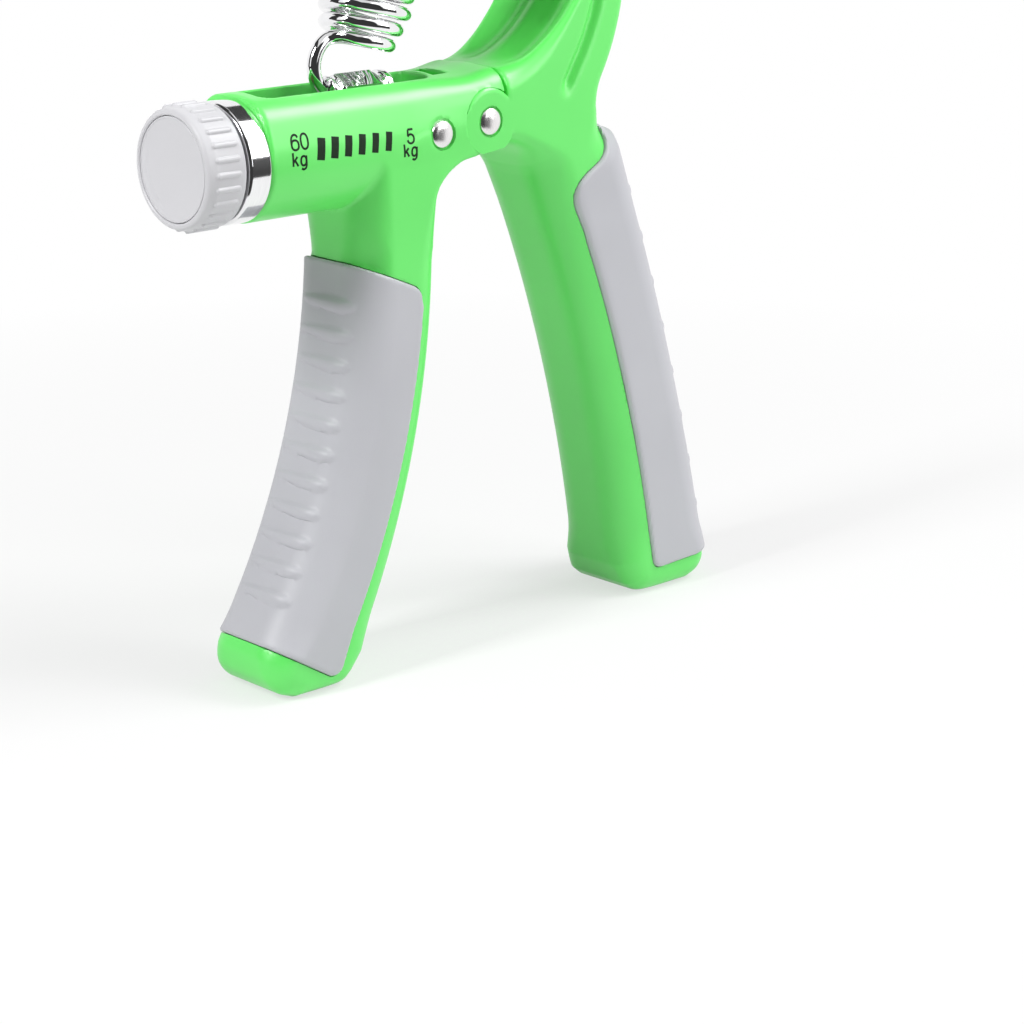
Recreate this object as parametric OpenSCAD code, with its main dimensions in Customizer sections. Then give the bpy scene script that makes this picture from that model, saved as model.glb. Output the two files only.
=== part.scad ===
// Adjustable hand grip strengthener, standing on its two feet.
// X runs along the adjuster barrel with the knob at -X, Y is the hinge axis, Z is up.

/* [Handles] */
// Height of the barrel axis above the ground
axis_z = 109; // [107:0.5:111]
// Hinge position along the barrel
pivot_x = 0.4; // [0:0.1:0.8]
// Hinge height above the ground
pivot_z = 112; // [111.5:0.1:112.5]
// Half the width of the green side faces at the legs
leg_half_w = 11.8; // [11.4:0.1:12.2]
// Half the width of the hinge block and the arch
hub_half_w = 12.3; // [12:0.1:12.6]
// Corner radius of the legs' cross-section
leg_corner = 8; // [6:0.5:9]
// Half the thickness of the front handle's hinge tongue
tongue_half_w = 8.2; // [7.6:0.1:8.6]
// Radius of the hinge ears
ear_r = 6.8; // [6.4:0.1:7]

/* [Grip covers] */
// How far a cover stands out from the green body
cover_proud = 0.7; // [0.4:0.1:1]
// How deep a cover is let into the green body
cover_sunk = 1.6; // [1.2:0.1:2]
// Raised ridges on the front cover
front_ridges = 11; // [7:1:13]
// Raised ridges on the rear cover
rear_ridges = 8; // [5:1:9]

/* [Barrel] */
// Outer radius of the barrel
barrel_r = 12.2; // [12:0.1:12.4]
// Radius of the bore that guides the spring carrier
bore_r = 7.5; // [7.3:0.1:7.7]
// Width of the slot along the barrel's top
slot_w = 10.8; // [10.4:0.1:11.2]

/* [Knob and screw] */
// Radius over the knob's ribs
knob_r = 12.55; // [12.2:0.05:12.8]
// Length of the knob
knob_len = 9.2; // [8.8:0.1:9.4]
// Ribs around the knob
knob_ribs = 26; // [18:1:30]
// Radius of the adjusting screw
screw_r = 3; // [2.8:0.1:3.2]
// Radial running clearance of shafts in their holes
run_gap = 0.05; // [0.03:0.01:0.08]

/* [Spring] */
// Diameter of the spring wire
wire_d = 2.85; // [2.6:0.05:2.85]
// Rise of one turn along the spring's axis
coil_pitch = 3.3; // [3.3:0.05:3.5]
// Lean of the spring's axis from the vertical
coil_lean = 18.7; // [17:0.1:20]
// Coil radius to the wire's centre at each end
coil_end_r = 6.2; // [6:0.1:6.6]
// Coil radius to the wire's centre at the middle
coil_mid_r = 9; // [8.6:0.1:9.2]

/* [Hidden] */
$fn = 48;
green = [0.48, 0.98, 0.5];
grey = [0.78, 0.79, 0.82];
chrome = [0.86, 0.87, 0.89];
steel = [0.7, 0.71, 0.73];
brass = [0.8, 0.66, 0.36];

// Places along the barrel
knob_face_x = -70.9;
knob_back_x = knob_face_x + knob_len;
ferrule_x = -61.3;
barrel_x = -55.95;
seam_x = 4.5;
seam_gap = 0.4;
slot_x = [-52.5, -9.5];
bearing_x = [-18, -9.6];
bearing_pin = [-12.6, 110.8];
rivet_r = 2;
rivet_head_r = 3;
rivet_bore_r = 1.1;
rivet_seat = 11.7;
rivet_dome = 1.2;
pivot_bush_r = 3.1;
washer_t = 0.35;
// Between two parts that are fixed to each other
press_gap = 0.02;
// Front end of the barrel's spigot and of the bush in it, and the shaft's step behind the knob
spigot_x = -60.6;
spigot_r = 9.8;
bush_x = -61.2;
shaft_step_x = -62;
clamp_x = -67.6;

// Edges of the legs seen from the side, as arcs that run down from a top point:
// x, z, lean from the vertical at the top and at the bottom, length
front_outer = [-32.6, 92, 0.6, 35.4, 91.8];
front_inner = [-11.4, 92, -0.4, 29, 91.8];
rear_outer = [40.5, 104, -22, -11.8, 104];
rear_inner = [16.4, 98, -24.3, -7.4, 97];

function edge_at(e, s) =
    let(r = e[4] / ((e[3] - e[2]) * PI / 180), a = e[2] + (e[3] - e[2]) * s / e[4])
    [e[0] + r * (cos(a) - cos(e[2])), e[1] - r * (sin(a) - sin(e[2]))];

// A chain of arcs: each step is [length, turn to the left in degrees], with no turn of exactly 0
function arc_point(p, dir, len, turn) =
    let(r = len / (turn * PI / 180))
    [p[0] + r * (sin(dir + turn) - sin(dir)), p[1] - r * (cos(dir + turn) - cos(dir))];
function chain(p, dir, steps, i = 0) =
    i == len(steps) ? [p]
    : concat([p], chain(arc_point(p, dir, steps[i][0], steps[i][1]), dir + steps[i][1], steps, i + 1));
// The same turn cut into n equal steps
function bend(r, turn, n) = [for (i = [1:n]) [abs(r * turn / n) * PI / 180, turn / n]];

// Rows of a handle's cross-sections, each [outer point, inner point, half width, corner radius,
// distance from the inner point to the cover's side edge, depth of the bed under the cover]
function plain(o, i, b, r) = [o, i, b, r, 0.45 * norm(o - i), 0];
function covered(o, i, w, bed = cover_sunk) = [o, i, leg_half_w, leg_corner, w, bed];

// How far a cover's side edge draws in, near an end with a round corner
function draw_in(from_end, r) = from_end >= r ? 0 : r - sqrt(r * r - (r - from_end) * (r - from_end));

// Stations down a cover: its top end, one between each pair of ridges, its bottom end
cover_len = 78.6;
top_steps = [0, 0.4, 1.2, 2.3, 3.5];
bottom_steps = [75, 76.6, 77.6, 78.2, cover_len];
function ridge_steps(n, from) = [for (k = [0:n]) from + (73.8 - from) * k / n];
function front_cover_row(s, bed = cover_sunk) = covered(edge_at(front_outer, 6 + s * 0.98),
    edge_at(front_inner, 13.8 + s * 0.98),
    6.4 + s * 0.02 + draw_in(s, 3.5) + draw_in(cover_len + 0.1 - s, 2.5), bed);
function rear_cover_row(s, bed = cover_sunk) = covered(edge_at(rear_outer, 6 + s * 1.21),
    edge_at(rear_inner, 7 + s * 1.145),
    5.4 + s * 0.024 + draw_in(cover_len + 0.1 - s, 2.5), bed);
function backwards(list) = [for (k = [len(list) - 1:-1:0]) list[k]];

front_cover_rows = [for (s = concat(top_steps, ridge_steps(front_ridges, 6), bottom_steps))
    front_cover_row(s)];
front_rows = concat(
    [plain([-52.5, 0.7], [-41.5, 0.15], 8.6, 4),
        plain([-56.2, 3.9], [-38.3, 0.6], 10.9, 6),
        plain([-57.4, 8.2], [-36, 1.3], 11.6, 6.2),
        front_cover_row(cover_len, 0) + [[0, -0.3], [0, -0.3], 0, 0, 0, 0]],
    backwards(front_cover_rows),
    [front_cover_row(0, 0) + [[0, 0.3], [0, 0.3], 0, 0, 0, 0],
        plain([-32.6, 92], [-11.8, 88], 11.9, 6.2),
        plain([-33.1, 95.2], [-12.6, 94.4], 11.9, 6),
        plain([-35.4, 98], [-11.8, 100.2], 12, 5.5),
        plain([-39.4, 100.2], [-6, 104.8], 12, 5),
        plain([-43, 103.6], [1, 107.6], 12, 4)]);

rear_top_row = covered([38.9, 105.8], [15.2, 100], 20.4);
rear_cover_rows = concat(
    [rear_top_row, covered([39.6, 105], [16.4, 98], 17.6),
        covered([40.5, 103.6], edge_at(rear_inner, 1.2), 14.4),
        covered([41, 102.4], edge_at(rear_inner, 2.6), 11),
        covered([41.6, 101], edge_at(rear_inner, 4), 7.4),
        covered([42, 100], edge_at(rear_inner, 5), 6.1),
        covered([42.5, 98.8], edge_at(rear_inner, 6.2), 5.5)],
    [for (s = concat(ridge_steps(rear_ridges, 2), bottom_steps)) rear_cover_row(s)]);
rear_plain_rows = 7;
arch_inner = chain([5, 121.3], 14, concat(bend(33, 48, 5), bend(13, 128, 7), bend(70, 20, 3)));
arch_outer = chain([32.2, 111], 90,
    concat(bend(14, -30, 3), bend(50, 20, 4), bend(27, 115, 6), bend(180, 7, 3)));
rear_rows = concat(
    [plain([64, 0.6], [50, 0.4], 8.6, 4),
        plain([68.4, 1.7], [46.4, 1], 10.9, 6),
        plain([70, 4.2], [44, 2.8], 11.6, 6.2),
        rear_cover_row(cover_len, 0) + [[0, -0.3], [0, -0.3], 0, 0, 0, 0]],
    backwards(rear_cover_rows),
    [[[38.6, 106.1], [15, 100.3], leg_half_w, leg_corner, 20.4, 0],
        plain([35.6, 107], [12.6, 102.6], 12, 6),
        plain([33.6, 108.8], [8.6, 107.8], hub_half_w, 4),
        plain([32.6, 110.6], [7.2, 112.6], hub_half_w, 3),
        plain([32.3, 112.2], [6.2, 117], hub_half_w, 2.6)],
    [for (i = [0:15])
        plain(arch_outer[i + 1], arch_inner[i], hub_half_w - max(0, i - 8) * 0.75, 2.6)]);

// Half of a section, y >= 0: inner corner, step down to the cover's bed, outer corner.
// The first number of each point runs from the inner point to the outer one.
corner_points = 5;
function arc_at(u, y, r, a0, a1) = [for (k = [0:corner_points - 1])
    let(a = a0 + (a1 - a0) * k / (corner_points - 1)) [u + r * cos(a), y + r * sin(a)]];
function width(row) = norm(row[0] - row[1]);
function outer_radius(row) = min(row[3], width(row) - row[5] - row[4] - 0.6);
function body_half(row) =
    let(b = row[2], w = row[4], d = row[5], ri = min(row[3], 4.6), ro = outer_radius(row))
    concat(arc_at(ri, b - ri, ri, 180, 90), [[w, b], [w + 0.3, b - d]],
        arc_at(width(row) - d - ro, b - d - ro, ro, 90, 0));

// Half of a cover's section on one face of the shell, g above the bed
function cover_half(row, g) =
    let(b = row[2], d = row[5], ro = outer_radius(row))
    concat([[row[4] + 0.4, b - d + g]], arc_at(width(row) - d - ro, b - d - ro, ro + g, 90, 0));

function in_space(row, p) =
    let(u = (row[0] - row[1]) / norm(row[0] - row[1]))
    [row[1][0] + u[0] * p[0], p[1], row[1][1] + u[1] * p[0]];
function both_halves(half) = concat(half, [for (p = backwards(half)) [p[0], -p[1]]]);
function body_ring(row) = [for (p = both_halves(body_half(row))) in_space(row, p)];
function cover_ring(row) = [for (p = concat(both_halves(cover_half(row, cover_sunk + cover_proud)),
    [for (q = both_halves(cover_half(row, press_gap))) [q[0], -q[1]]])) in_space(row, p)];

// Triangles round a stack of rings of n points, all in the same order
function ring_sides(rings, n) = [for (i = [0:rings - 2]) for (j = [0:n - 1]) let(k = (j + 1) % n)
    each [[i * n + j, i * n + k, (i + 1) * n + k], [i * n + j, (i + 1) * n + k, (i + 1) * n + j]]];
function fan(n) = [for (j = [1:n - 2]) [0, j + 1, j]];
// End of a shell, whose ring goes out along one face and back along the other
function strip(n) = [for (j = [0:n / 2 - 2])
    each [[j, n - 1 - j, n - 2 - j], [j, n - 2 - j, j + 1]]];
function turned(faces, first) = [for (f = faces) [first + f[2], first + f[1], first + f[0]]];

// Rings of the rear handle are given upwards and those of the front handle downwards
module stack(rings, end) {
    n = len(rings[0]);
    polyhedron(points = [for (ring = rings) each ring],
        faces = concat(ring_sides(len(rings), n), end, turned(end, (len(rings) - 1) * n)));
}

module handle_body(rows) {
    rings = [for (row = rows) body_ring(row)];
    stack(rows[0][0][0] < 0 ? backwards(rings) : rings, fan(len(rings[0])));
}

// A ridge between two rings stands out from the cover's outer face only
ridge_rise = 0.5;
ridge_shape = [[0.32, 0], [0.5, 1], [0.68, 0]];
face_share = [0, 0, 0, 0.3, 0.7, 1];
function ridge_rings(a, b, row) =
    let(out = (row[0] - row[1]) / width(row) * ridge_rise, share = concat(face_share, backwards(face_share)))
    [for (step = ridge_shape) [for (j = [0:len(a) - 1])
        a[j] * (1 - step[0]) + b[j] * step[0]
            + (j < len(share) ? [out[0], 0, out[1]] * step[1] * share[j] : [0, 0, 0])]];

module cover_shell(rows, first, ridges) {
    rings = [for (row = rows) cover_ring(row)];
    all_rings = [for (i = [0:len(rings) - 1]) each i >= first && i < first + ridges
        ? concat([rings[i]], ridge_rings(rings[i], rings[i + 1], rows[i])) : [rings[i]]];
    stack(rows[0][0][0] < 0 ? all_rings : backwards(all_rings), strip(len(rings[0])));
}

// Extrusion of a side outline, given as x and z, between two y values
module side(y0, y1) {
    translate([0, y1, 0]) rotate([90, 0, 0]) linear_extrude(y1 - y0) children();
}

// Cylinder along Y or X
module rod_y(x, z, r, y0, y1) {
    translate([x, y0, z]) rotate([-90, 0, 0]) cylinder(r = r, h = y1 - y0);
}

module rod_x(r, x0, x1, z = axis_z) {
    translate([x0, 0, z]) rotate([0, 90, 0]) cylinder(r = r, h = x1 - x0);
}

// Ring along X
module ring_x(r_out, r_in, x0, x1, z = axis_z) {
    difference() {
        rod_x(r_out, x0, x1, z);
        rod_x(r_in, x0 - 1, x1 + 1, z);
    }
}

// Cells under a cover: side outline between two edges, cut by cross ribs
module leg_cells(outer, inner, s0, s1, cells, wall) {
    pitch = (s1 - s0) / cells;
    for (k = [0:cells - 1]) {
        a = s0 + pitch * k + 1;
        b = s0 + pitch * (k + 1) - 1;
        dir = inner[0] > outer[0] ? 1 : -1;
        side(-7.4, 7.4) polygon([edge_at(outer, a) + [dir, 0], edge_at(outer, b) + [dir, 0],
            edge_at(inner, b) - [dir * wall, 0], edge_at(inner, a) - [dir * wall, 0]]);
    }
}

// Barrel section across X: a circle with squared shoulders beside the slot
module barrel_section() {
    circle(r = barrel_r, $fn = 96);
    for (side_y = [-1, 1]) translate([side_y * 6, 7.6]) circle(r = 4.4);
    translate([-6, 6]) square([12, 6]);
}

module along_x(x0, x1) {
    translate([x0, 0, axis_z]) rotate([90, 0, 90]) linear_extrude(x1 - x0) children();
}

module front_handle() color(green) {
    difference() {
        union() {
            along_x(barrel_x, seam_x) barrel_section();
            rod_x(spigot_r, spigot_x, barrel_x);
            handle_body(front_rows);
            translate([-52, -6.5, 0]) cube([10, 13, 3]);
        }
        // the barrel's underside is cut away between the neck and the hinge
        side(-20, 20) polygon([[-11.9, 90], [-12.5, 95.4], [-12.4, 98.6], [-11.6, 100.8], [-9.8, 102.7],
            [-6.8, 104.2], [-3.4, 105], [0.5, 105.5], [6, 106], [6, 90]]);
        // hinge: room for the ears, and a round end to the tongue
        for (y = [[-20, -tongue_half_w], [tongue_half_w, 20]])
            rod_y(pivot_x, pivot_z, ear_r + 0.3, y[0], y[1]);
        side(-20, 20) hinge_end();
        rod_y(pivot_x, pivot_z, pivot_bush_r, -9, 9);
        // adjuster: bore, slot, bearing seat and rivet
        rod_x(bore_r, shaft_step_x, bearing_x[1]);
        translate([slot_x[0], -slot_w / 2, axis_z + 5.4])
            cube([slot_x[1] - slot_x[0], slot_w, 20]);
        rod_y(bearing_pin[0], bearing_pin[1], rivet_r, -20, 20);
        for (y = [[-20, -rivet_seat], [rivet_seat, 20]])
            rod_y(bearing_pin[0], bearing_pin[1], rivet_head_r + 0.2, y[0], y[1]);
        leg_cells(front_outer, front_inner, 10, 82, 5, 3.2);
    }
}

// Everything right of the tongue's round end and below the seam
module hinge_end() {
    r = ear_r - 0.4;
    difference() {
        polygon([[seam_x, pivot_z + 5], [20, pivot_z + 5], [20, 90], [pivot_x, 90], [pivot_x, pivot_z]]);
        translate([pivot_x, pivot_z]) circle(r = r);
        polygon([[pivot_x - 1, pivot_z], [seam_x, pivot_z], [seam_x, pivot_z + 6], [pivot_x - 1, pivot_z + 6]]);
    }
}

module front_grip() color(grey) cover_shell(front_cover_rows, len(top_steps), front_ridges);

ferrule_r = 12.1;
module knob_ferrule() color(chrome) {
    lip_t = 0.6;
    ring_x(ferrule_r, spigot_r + run_gap, ferrule_x + lip_t, barrel_x - press_gap);
    ring_x(ferrule_r, 8.95, ferrule_x, ferrule_x + lip_t);
}

// Tube in the bore with a flange before the spigot's end
module screw_bush() color(brass) {
    ring_x(bore_r - press_gap, screw_r + run_gap, bush_x, -54);
    ring_x(8.8, screw_r + run_gap, bush_x, spigot_x - press_gap);
}

module screw_end_bearing() color(steel) {
    difference() {
        rod_x(bore_r - press_gap, bearing_x[0], bearing_x[1] - 0.1);
        rod_x(2.05, bearing_x[0] - 1, -14.5);
        rod_y(bearing_pin[0], bearing_pin[1], rivet_r, -10, 10);
        translate([-20, -10, axis_z + 5.3]) cube([14, 20, 10]);
    }
}

// Rivet with a domed head on the near side; the cap's spigot closes its hollow end
module rivet(p) {
    difference() {
        rod_y(p[0], p[1], rivet_r - press_gap, -rivet_seat, rivet_seat - 0.4);
        rod_y(p[0], p[1], rivet_bore_r, 4, rivet_seat);
    }
    dome(p, -1);
}

module rivet_cap(p) {
    rod_y(p[0], p[1], rivet_bore_r - press_gap, 5, rivet_seat + 0.2);
    dome(p, 1);
}

// Domed head: a slice of a ball on its seat
module dome(p, dir) {
    ball = (rivet_head_r * rivet_head_r + rivet_dome * rivet_dome) / (2 * rivet_dome);
    intersection() {
        translate([p[0], dir * (rivet_seat + rivet_dome - ball), p[1]]) sphere(r = ball);
        rod_y(p[0], p[1], rivet_head_r, dir > 0 ? rivet_seat : -rivet_seat - 2,
            dir > 0 ? rivet_seat + 2 : -rivet_seat);
    }
}

module bearing_rivet() color(chrome) rivet(bearing_pin);

module bearing_rivet_cap() color(chrome) rivet_cap(bearing_pin);

module pivot_rivet() color(chrome) rivet([pivot_x, pivot_z]);

module pivot_rivet_cap() color(chrome) rivet_cap([pivot_x, pivot_z]);

module pivot_bush() color(steel) {
    difference() {
        rod_y(pivot_x, pivot_z, pivot_bush_r - press_gap, -tongue_half_w, tongue_half_w);
        rod_y(pivot_x, pivot_z, rivet_r + run_gap, -10, 10);
    }
}

module pivot_washers() color(steel) {
    for (y = [-tongue_half_w - washer_t - press_gap, tongue_half_w + press_gap]) difference() {
        rod_y(pivot_x, pivot_z, 5.6, y, y + washer_t);
        rod_y(pivot_x, pivot_z, rivet_r, y - 1, y + 1);
    }
}

anchor = [-16.5, 152];
eye_r = 5.2;
pin_r = 2;
fork_r = 5.7;
fork_half_w = 2.6;

module rear_handle() color(green) {
    difference() {
        union() {
            handle_body(rear_rows);
            translate([51, -6.5, 0]) cube([12, 13, 3]);
            rod_y(pivot_x, pivot_z, ear_r, -hub_half_w, hub_half_w);
            side(-hub_half_w, hub_half_w) polygon([[pivot_x + 5.2, pivot_z - 4.4], [9, 107.2], [14, 105.4],
                [14, 119], [seam_x + seam_gap, 119], [seam_x + seam_gap, pivot_z + 5]]);
            rod_y(anchor[0], anchor[1], eye_r, -7, 7);
        }
        // hinge pocket for the tongue
        rod_y(pivot_x, pivot_z, ear_r + 0.1, -tongue_half_w - washer_t - 0.05, tongue_half_w + washer_t + 0.05);
        side(-tongue_half_w - washer_t - 0.05, tongue_half_w + washer_t + 0.05)
            polygon([[pivot_x - 12, 90], [pivot_x + 6.4, pivot_z - 2.4], [pivot_x, pivot_z],
                [seam_x + seam_gap, pivot_z], [seam_x + seam_gap, 130], [pivot_x - 12, 130]]);
        rod_y(pivot_x, pivot_z, rivet_r, -20, 20);
        for (y = [[-20, -rivet_seat], [rivet_seat, 20]])
            rod_y(pivot_x, pivot_z, rivet_head_r + 0.2, y[0], y[1]);
        // fork at the arch's tip for the spring's upper hook
        rod_y(anchor[0], anchor[1], pin_r, -8, 8);
        rod_y(anchor[0], anchor[1], fork_r, -fork_half_w, fork_half_w);
        leg_cells(rear_outer, rear_inner, 10, 90, 6, 3.4);
    }
}

module rear_grip() color(grey) cover_shell(rear_cover_rows, rear_plain_rows, rear_ridges);

module spring_anchor_pin() color(steel) rod_y(anchor[0], anchor[1], pin_r - press_gap, -6.9, 6.9);

module knob() color(grey) {
    difference() {
        union() {
            rod_x(knob_r - 0.45, knob_face_x + 1.6, knob_back_x);
            // rounded front rim
            translate([knob_face_x + 1.6, 0, axis_z]) rotate([0, 90, 0])
                rotate_extrude($fn = 96) translate([knob_r - 2.05, 0]) circle(r = 1.6);
            rod_x(knob_r - 2.05, knob_face_x + 0.1, knob_face_x + 1.6);
            for (k = [0:knob_ribs - 1]) rotate_about_axis(360 * k / knob_ribs)
                translate([knob_face_x + 2.6, 0, axis_z + knob_r - 0.75]) rotate([0, 90, 0])
                    cylinder(r = 0.75, h = 5.6, $fn = 16);
        }
        rod_x(10.3, knob_face_x - 1, knob_face_x + 1.3);
        ring_x(10.2, 5, knob_face_x + 3.6, knob_back_x + 1);
        rod_x(5.1, shaft_step_x, knob_back_x + 1);
        rod_x(screw_r, clamp_x, knob_back_x + 1);
        rod_x(1.6, -75, -60);
        rod_x(3.7, knob_face_x, knob_face_x + 2.5);
    }
}

module rotate_about_axis(a) {
    translate([0, 0, axis_z]) rotate([a, 0, 0]) translate([0, 0, -axis_z]) children();
}

// Dished disc that closes the knob's face
cap_r = 10.25;
module knob_face_cap() color(grey) {
    translate([knob_face_x, 0, axis_z]) rotate([0, 90, 0]) rotate_extrude($fn = 96)
        polygon(concat([[0, 1.25], [cap_r, 1.25]],
            [for (k = [4:-1:0]) [cap_r * k / 4, 0.6 - 0.44 * k * k / 16]]));
}

module knob_clamp_screw() color(steel) {
    difference() {
        rod_x(3.4, knob_face_x + 1.3, knob_face_x + 2.48);
        translate([knob_face_x, -0.5, axis_z - 2.5]) cube([1.9, 1, 5]);
    }
    rod_x(1.5, knob_face_x + 2.48, -63.5);
}

module adjusting_screw() color(steel) {
    difference() {
        union() {
            rod_x(screw_r - press_gap, clamp_x + press_gap, shaft_step_x);
            rod_x(screw_r, shaft_step_x, -18.4);
            rod_x(2, -18.4, -14.8);
        }
        rod_x(1.52, -70, -63.4);
    }
}

module thrust_washer() color(steel) ring_x(4.9, screw_r + press_gap, -61.95, -61.27);

carrier_x = [-36, -25];
bar_z = 119;
eye_z = 119.6;
nut_r = 5;

// Runs in the bore, holds the nut below and the spring's lower hook above
module spring_carrier() color(chrome) {
    difference() {
        union() {
            rod_x(bore_r - 0.15, carrier_x[0], carrier_x[1]);
            translate([-31.6, -4.4, axis_z]) cube([6.6, 8.8, bar_z - axis_z]);
            translate([-31.6, 0, bar_z]) rotate([0, 90, 0]) cylinder(r = 4.3, h = 12.2, $fn = 6);
            rod_x(4.3, -33.2, -31.6, bar_z);
            rod_x(4.3, -19.4, -17.6, bar_z);
        }
        rod_x(nut_r, carrier_x[0] - 1, -26);
        rod_x(screw_r + 0.4, -30, carrier_x[1] + 1);
        rod_x(2.3, -34, -29, eye_z);
    }
}

module travel_nut() color(brass) ring_x(nut_r - press_gap, screw_r + run_gap, -35.5, -26 - press_gap);

// Spring: hook through the carrier's eye, conical turns, full turns, conical turns, hook on the pin
wire_r = wire_d / 2;
coil_base = [-24.8, 128.75];
coil_grow = 0.82;
coil_from = 60;
coil_to = 1700;
rings_per_turn = 8;
axis_dir = [sin(coil_lean), 0, cos(coil_lean)];
back_dir = [-cos(coil_lean), 0, sin(coil_lean)];

function coil_radius(a) = min(coil_mid_r, coil_end_r + coil_grow * a / 360,
    coil_end_r + coil_grow * 1.7 * (coil_to - a) / 360);
function coil_point(a) = [coil_base[0], 0, coil_base[1]] + axis_dir * coil_pitch * a / 360
    + coil_radius(a) * (back_dir * cos(a) - [0, 1, 0] * sin(a));

// Cubic between two points with given end directions, inner points only
function link(p, u, q, v, n) = [for (i = [1:n]) let(t = i / (n + 1))
    p * pow(1 - t, 3) + (p + u) * 3 * t * pow(1 - t, 2) + (q - v) * 3 * t * t * (1 - t) + q * pow(t, 3)];
function on_circle(c, r, a) = [c[0] + r * cos(a), 0, c[1] + r * sin(a)];

low_hook = [for (a = [258:-20:118]) on_circle([-29.6, 125], 6, a)];
coil = [for (a = [coil_from:360 / rings_per_turn:coil_to]) coil_point(a)];
top_hook = [for (a = [190:-25:-35]) on_circle(anchor, pin_r + wire_r + 0.12, a)];
coil_start_dir = (coil[1] - coil[0]) / norm(coil[1] - coil[0]);
coil_end_dir = (coil[len(coil) - 1] - coil[len(coil) - 2]) / norm(coil[len(coil) - 1] - coil[len(coil) - 2]);
wire_path = concat(low_hook,
    link(low_hook[len(low_hook) - 1], [2.2, 0, 0.9], coil[0], coil_start_dir * 2.2, 1),
    coil,
    link(coil[len(coil) - 1], coil_end_dir * 4, top_hook[0], [0.6, 0, 8], 5),
    top_hook);

// Rings carried along a path without twist
function unit(v) = v / norm(v);
function tangent(p, i) = unit(p[min(i + 1, len(p) - 1)] - p[max(i - 1, 0)]);
function frames(p, n, i = 0) =
    i == len(p) ? []
    : let(t = tangent(p, i), m = unit(n - t * (n * t))) concat([[t, m]], frames(p, m, i + 1));

module wire(path, r, sides) {
    f = frames(path, [0, 1, 0]);
    points = [for (i = [0:len(path) - 1]) for (k = [0:sides - 1])
        path[i] + r * (f[i][1] * cos(360 * k / sides) + cross(f[i][0], f[i][1]) * sin(360 * k / sides))];
    polyhedron(points = points, faces = turned(concat(ring_sides(len(path), sides), fan(sides),
        turned(fan(sides), (len(path) - 1) * sides)), 0));
}

// Least gap between parts of the wire more than two thirds of a turn apart along it
near_rings = 6;
wire_gap = min([for (i = [0:len(wire_path) - 1]) for (j = [i + near_rings:1:len(wire_path) - 1])
    norm(wire_path[i] - wire_path[j])]) - wire_d;
echo(least_gap_of_the_spring_to_itself = wire_gap);

module tension_spring() color(chrome) wire(wire_path, wire_r, 6);

front_handle();
front_grip();
knob_ferrule();
screw_bush();
screw_end_bearing();
bearing_rivet();
bearing_rivet_cap();
pivot_bush();
rear_handle();
rear_grip();
pivot_rivet();
pivot_rivet_cap();
pivot_washers();
spring_anchor_pin();
knob();
knob_face_cap();
knob_clamp_screw();
adjusting_screw();
thrust_washer();
spring_carrier();
travel_nut();
tension_spring();
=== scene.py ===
"""Adjustable hand grip strengthener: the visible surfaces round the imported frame.

All shapes are worked out in millimetres in the row frame: X along the barrel with the knob at -X,
Y along the hinge pin, Z up. The two handles and their covers are solids given by distance
functions, and a closed skin is laid over each. The other pieces are profiles turned round an axis
or sections carried along a path.
"""
import math
import bpy
import numpy as np
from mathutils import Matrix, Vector


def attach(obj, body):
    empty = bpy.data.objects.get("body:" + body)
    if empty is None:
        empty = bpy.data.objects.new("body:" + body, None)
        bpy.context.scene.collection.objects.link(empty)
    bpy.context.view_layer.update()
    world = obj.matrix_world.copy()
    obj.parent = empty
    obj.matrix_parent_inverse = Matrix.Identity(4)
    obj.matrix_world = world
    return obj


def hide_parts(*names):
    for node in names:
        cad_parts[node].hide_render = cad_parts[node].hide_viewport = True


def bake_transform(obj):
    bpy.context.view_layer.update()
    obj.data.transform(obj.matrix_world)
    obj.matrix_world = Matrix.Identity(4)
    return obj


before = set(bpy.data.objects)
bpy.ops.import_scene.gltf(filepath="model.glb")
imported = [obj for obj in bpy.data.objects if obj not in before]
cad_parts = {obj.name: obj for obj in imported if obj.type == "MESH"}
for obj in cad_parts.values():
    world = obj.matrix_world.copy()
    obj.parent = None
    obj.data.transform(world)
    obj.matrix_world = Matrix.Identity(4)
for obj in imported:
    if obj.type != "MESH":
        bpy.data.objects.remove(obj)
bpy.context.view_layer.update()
MM = 0.001
AXIS_Z = 109.0
PIVOT = (0.4, 112.0)
BEARING = (-12.6, 110.8)
ANCHOR = (-16.5, 152.0)


# ---------------------------------------------------------------- camera
def aim_camera(place_mm, azimuth, elevation, lens):
    """A camera at a place, looking along an azimuth and down by an elevation, in degrees"""
    data = bpy.data.cameras.new("view")
    data.sensor_width = 36.0
    data.lens = lens
    data.clip_start, data.clip_end = 0.01, 20.0
    cam = bpy.data.objects.new("view", data)
    cam.location = [v * MM for v in place_mm]
    cam.rotation_euler = (math.radians(90.0 - elevation), 0.0, math.radians(azimuth))
    bpy.context.collection.objects.link(cam)
    bpy.context.scene.camera = cam


aim_camera((-384.7, -428.76, 199.83), -43.18, 16.72, 98.65)


# ---------------------------------------------------------------- materials
class Wire:
    """A shader socket whose arithmetic adds Math nodes"""

    def __init__(self, tree, socket):
        self.tree, self.socket = tree, socket

    def _math(self, operation, first, second):
        """A Math node on two values or wires"""
        return add_node(self.tree, "ShaderNodeMath", {"operation": operation}, inputs=(first, second))

    def greater(self, other):
        """The greater of this and another"""
        return self._math("MAXIMUM", self, other)

    def __add__(self, other):
        return self._math("ADD", self, other)

    def __radd__(self, other):
        return self._math("ADD", other, self)

    def __sub__(self, other):
        return self._math("SUBTRACT", self, other)

    def __rsub__(self, other):
        return self._math("SUBTRACT", other, self)

    def __mul__(self, other):
        return self._math("MULTIPLY", self, other)

    def __rmul__(self, other):
        return self._math("MULTIPLY", other, self)


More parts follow.
